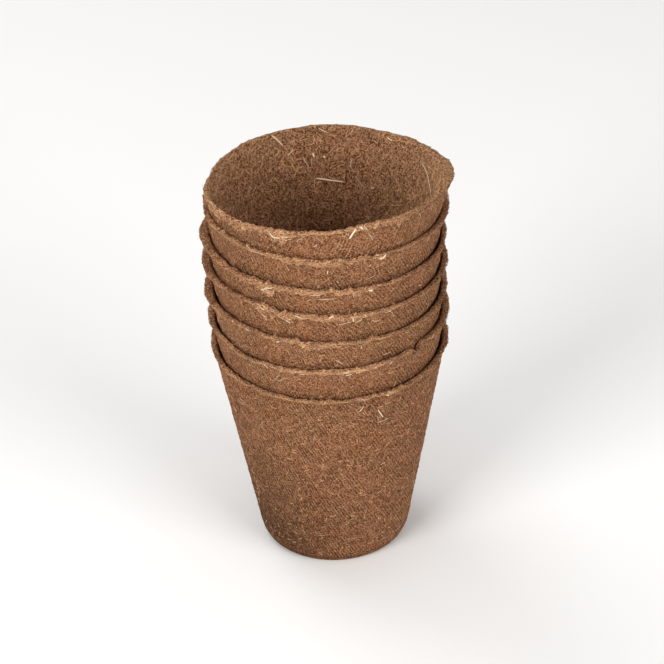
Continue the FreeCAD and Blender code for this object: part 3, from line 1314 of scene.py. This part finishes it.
# The stack, from the bottom pot up, with the rows of straws outside and then inside:
# bearing, drop, heading, length, width, tone, curl and lift, as in Straw
STACK = (
    PeatPot("bottom_pot", 11, RimCharacter(0.6, 0.95, 0.4, nod=-0.75, swells=(
        SAG, Swell(262, 26, hang=0.2, reach=0.05, tone=0.2),
        Swell(300, 6, hang=1.2, reach=0.15, tone=0.5), Swell(350, 20, outward=-0.4, upward=1.0),
        *LOWER_WEAR,
    )), (
        (284.5, 5.2, -58, 2.9, 0.3), (295, 9.5, 61, 4.4, 0.42), (297, 12.9, -5, 3.8, 0.24, 0.5),
        (216.7, 11.1, 10, 3.6, 0.24, 0.35), (285.1, 0.5, 47, 2.0, 0.26, 0.6),
        (287.4, 0.6, -34, 1.9, 0.26, 0.6), (297.8, 1.2, 30, 1.3, 0.5, 0.7),
        (297.5, 5.3, 66, 2.4, 0.2, 0.3), (221.7, 47.4, -30, 2.2, 0.25, 0.3),
        (260, 64, -6, 2.5, 0.22, 0.3),
    # The bottom pot has painted shade at its foot, and no paler felt towards the rim outside
    ), print_depth=1.0, outer_rim_paling=0.0, painted_shade=1.0, outer_nap=8500),
    PeatPot("second_pot", 23, RimCharacter(0.0, 1.1, -1.1, nod=-0.5, swells=(
        SAG, Swell(246, 9, hang=0.9, reach=0.15, tone=0.4),
        Swell(268, 14, hang=1.1, reach=0.15, tone=0.4),
        Swell(287, 8, hang=1.2, reach=0.2, tone=0.45), Swell(316, 2.4, upward=-2.0),
        Swell(321, 2.0, upward=0.6), Swell(182, 24, outward=0.9, band=3.5),
        Swell(205, 14, outward=-0.8), *LOWER_WEAR,
    )), (
        (238.3, 0.8, 52, 2.0, 0.36, 0.6), (277.4, 0.6, 10, 2.2, 0.4, 0.75),
        (278.6, 2.2, -17, 2.0, 0.4, 0.75), (291, 0.9, -25, 1.3, 0.4, 0.6),
        (299.9, 0.9, -60, 2.1, 0.32, 0.8), (243.1, 5.4, -56, 3.8, 0.22, 0.45, 20),
        (245.6, 5.7, -40, 3.8, 0.22, 0.4, -50), (329.8, 1.3, -40, 1.9, 0.35, 0.7),
        (304, 3.9, -39, 2.2, 0.24, 0.3),
    )),
    PeatPot("third_pot", 37, RimCharacter(1.1, 0.45, 2.0, nod=-0.75, swells=(
        SAG, Swell(246, 9, hang=0.6, reach=0.12, tone=0.4),
        Swell(263, 11, hang=2.2, reach=0.1, tone=0.1),
        Swell(287, 9, hang=0.4, reach=0.05, tone=0.25),
        Swell(190, 20, outward=0.6, upward=-1.4, band=9.0), Swell(165, 14, outward=-0.5),
        *LOWER_WEAR,
    )), (
        (229.6, 0.4, 38, 1.8, 0.3, 0.8), (245.6, 1.0, -10, 1.1, 0.4, 0.75),
        (274.6, 8.7, 41, 3.0, 0.28, 0.6), (243.2, 3.6, 49, 1.3, 0.26, 0.5),
        (299.2, 9.0, -8, 2.9, 0.3, 0.4, 30), (285, 3.0, -84, 1.8, 0.3, 0.45),
        (310, 2.6, 49, 1.5, 0.3, 0.45),
    )),
    PeatPot("fourth_pot", 41, RimCharacter(1.5, 0.35, 2.9, nod=-1.2, swells=(
        SAG, Swell(240, 5.5, hang=3.2, reach=0.5, tone=0.5), Swell(246.5, 1.8, upward=-0.9),
        Swell(252, 5, hang=2.4, reach=0.5, tone=0.6),
        Swell(268, 11, hang=2.1, reach=0.35, tone=0.45),
        Swell(284, 7, hang=2.8, reach=0.42, tone=0.55),
        Swell(299, 3.5, hang=1.0, reach=0.1, tone=0.35), Swell(192, 20, outward=0.4, upward=-2.0),
        Swell(165, 14, outward=-0.9, upward=-0.6), *LOWER_WEAR,
    )), (
        (239.1, 0.5, 36, 1.8, 0.34, 0.85), (256.5, 0.6, 28, 3.2, 0.34, 0.8),
        (250.3, 3.9, 27, 2.3, 0.42, 0.95), (271.1, 0.3, 5, 1.7, 0.45, 0.85, 50),
        (280.9, 0.7, 84, 5.4, 0.4, 0.75, 0, 1.2), (282.3, 0.2, 0, 1.9, 0.26, 0.6, 0, 1.0),
        (285.2, 2.4, -34, 3.6, 0.3, 0.6), (289.9, 0.5, -73, 2.6, 0.3, 0.55, 0, 0.6),
        (292.7, 5.4, 20, 2.7, 0.3, 0.55, -30), (286.8, 0.5, 50, 0.8, 0.36, 0.75),
        (277.5, 3.9, -22, 4.6, 0.3, 0.4), (298.7, 1.6, -44, 2.2, 0.5, 0.5),
        (238.9, 3.1, 15, 2.1, 0.3, 0.4), (319.5, 0.8, -10, 2.4, 0.26, 0.3),
        (232, 4.6, 62, 2.8, 0.22, 0.25),
    )),
    PeatPot("fifth_pot", 53, RimCharacter(2.1, 0.0, 2.1, nod=-1.0, swells=(
        SAG, Swell(231, 9, hang=2.6, reach=0.15, tone=0.2),
        Swell(243, 5, hang=2.6, reach=0.35, tone=0.5),
        Swell(256, 9, hang=1.7, reach=0.32, tone=0.4),
        Swell(270, 8, hang=0.5, reach=0.12, tone=0.3),
        Swell(285, 8, hang=2.2, reach=0.32, tone=0.4), Swell(165, 14, outward=-0.9, upward=-0.6),
        *LOWER_WEAR,
    )), (
        (240.6, 1.9, -32, 6.4, 0.4, 0.75, 15, 0.6), (239, 3.0, 80, 2.0, 0.32, 0.6),
        (242.6, 0.3, -78, 2.7, 0.36, 0.65, 0, 0.7), (241.9, 2.6, 60, 2.4, 0.34, 0.65, 25, 0.6),
        (256, 1.1, 19, 1.0, 0.42, 0.75), (264.7, 1.3, -12, 3.8, 0.3, 0.5),
        (269.3, 3.7, -3, 5.6, 0.34, 0.4, 20), (289.7, 0.9, 4, 1.3, 0.6, 0.9),
        (290.6, 1.9, 40, 1.6, 0.5, 0.6), (281.8, 2.5, 84, 3.2, 0.26, 0.4),
        (321.5, 9.2, 3, 1.3, 0.45, 0.45), (260.9, 4.4, -31, 1.9, 0.3, 0.35),
    )),
    PeatPot("sixth_pot", 67, RimCharacter(0.2, 0.0, 2.2, nod=-0.2, swells=(
        SAG, Swell(182, 7, upward=1.8), Swell(170, 14, outward=-0.5),
        Swell(232, 14, hang=0.3, tone=0.45), Swell(256, 11, hang=1.2, reach=0.28, tone=0.6),
        Swell(272, 8, hang=1.8, reach=0.3, tone=0.55),
        Swell(287, 7, hang=0.6, reach=0.08, tone=0.35),
        Swell(296.5, 2.2, hang=1.2, reach=0.3, tone=0.6), Swell(355, 26, outward=0.9, band=12.0),
        *LOWER_WEAR,
    )), (
        (296, 0.7, -40, 2.4, 0.55, 0.75), (270.2, 4.7, -78, 1.7, 0.32, 0.65),
        (291.3, 9.0, -22, 3.6, 0.24, 0.4), (290.3, 3.8, -48, 1.0, 0.32, 0.5),
        (265.6, 10.6, -51, 1.5, 0.3, 0.45), (312.5, 0.8, -30, 3.4, 0.24, 0.3),
        (275, 9.0, 55, 1.2, 0.3, 0.5),
    )),
    PeatPot("top_pot", 71, RimCharacter(0.0, 0.2, -1.9, nod=0.95, swells=(
        SAG, Swell(214, 24, hang=2.4, reach=0.12, tone=0.42),
        Swell(248, 7, hang=2.0, reach=0.3, tone=0.4), Swell(268, 8, hang=-0.3, tone=0.35),
        Swell(290, 7, upward=0.6, hang=0.6, tone=0.3), Swell(305, 8, hang=1.4, tone=0.35),
        Swell(335, 30, hang=-0.3, tone=-0.45), Swell(90, 75, tone=-0.35),
        Swell(150, 26, outward=-0.7, upward=-0.6), Swell(45, 32, upward=-1.7),
        Swell(0, 34, outward=2.4, band=15.0), Swell(268, 62, upward=1.1),
        Swell(170, 15, outward=-0.7, upward=-0.9), Swell(24, 14, upward=-0.8),
    )), (
        (282.2, 1.3, -54, 3.6, 0.62, 1.0), (286, 0.2, 48, 1.7, 0.5, 0.8),
        (288.1, 0.5, 46, 1.9, 0.36, 0.5), (290.9, 3.4, 55, 2.8, 0.26, 0.45, 30),
        (246.2, 1.5, 26, 4.2, 0.4, 0.85, -50), (251.1, 1.4, -8, 2.6, 0.36, 0.6),
        (257.7, 2.3, -36, 2.4, 0.24, 0.5, 90), (318.7, 2.2, 49, 2.3, 0.26, 0.45),
        (265.1, 4.0, -40, 1.3, 0.32, 0.6), (266.8, 2.0, 44, 2.5, 0.26, 0.3),
        (245.7, 3.4, -48, 2.4, 0.28, 0.3), (248.6, 3.8, -48, 2.4, 0.28, 0.3),
    ), (
        (86.5, 19.6, 172, 10.4, 0.6, 0.7), (85.4, 18.9, 154, 2.6, 0.24, 0.4),
        (114.2, 3.0, 125, 6.6, 0.42, 0.85), (89.6, 1.7, 151, 3.8, 0.36, 0.55),
        (105.9, 4.6, -150, 2.2, 0.32, 0.45), (107.6, 8.7, -139, 2.8, 0.36, 0.6),
        (114.1, 7.1, 133, 2.5, 0.22, 0.4), (99.5, 12.9, 117, 4.4, 0.3, 0.45),
        (96.5, 13.1, 94, 2.8, 0.26, 0.35), (74.8, 13.4, -103, 3.0, 0.3, 0.45),
        (69.2, 19.6, 134, 5.7, 0.24, 0.5, 25), (95.2, 10.7, 101, 1.5, 0.62, 0.9),
        (89.3, 11.4, 134, 0.8, 0.62, 0.9), (61.4, 20.9, 174, 1.1, 0.5, 0.7),
        (53.2, 1.6, 155, 2.3, 0.42, 0.9), (19.6, 8.0, 150, 13.6, 0.26, 0.85, -55, 0.5),
        (32.8, 11.7, 128, 1.3, 0.36, 0.6), (36.5, 12.4, -121, 1.6, 0.24, 0.4),
        (44, 3.1, 161, 1.1, 0.36, 0.6), (61, 4.3, 140, 1.7, 0.3, 0.4),
        (128.6, 17.0, -152, 2.8, 0.22, 0.35), (100.7, 3.7, -141, 2.0, 0.26, 0.35),
    # The top pot has painted light on the left and right walls inside
    ), print_way=-1.0, painted_side_light=0.27, inner_nap=8500, straw_count=170),
)


def main() -> None:
    """Builds the camera, the studio and the pots."""
    logging.basicConfig(level=logging.INFO, format="%(name)s: %(message)s")
    PhotoCamera().build()
    Studio().build()
    finishes = MouldedPulp().build(), WOOD_FIBRE.build(), STRAW.build()
    for pot in STACK:
        pot.build(*finishes)


if __name__ == "__main__":
    main()
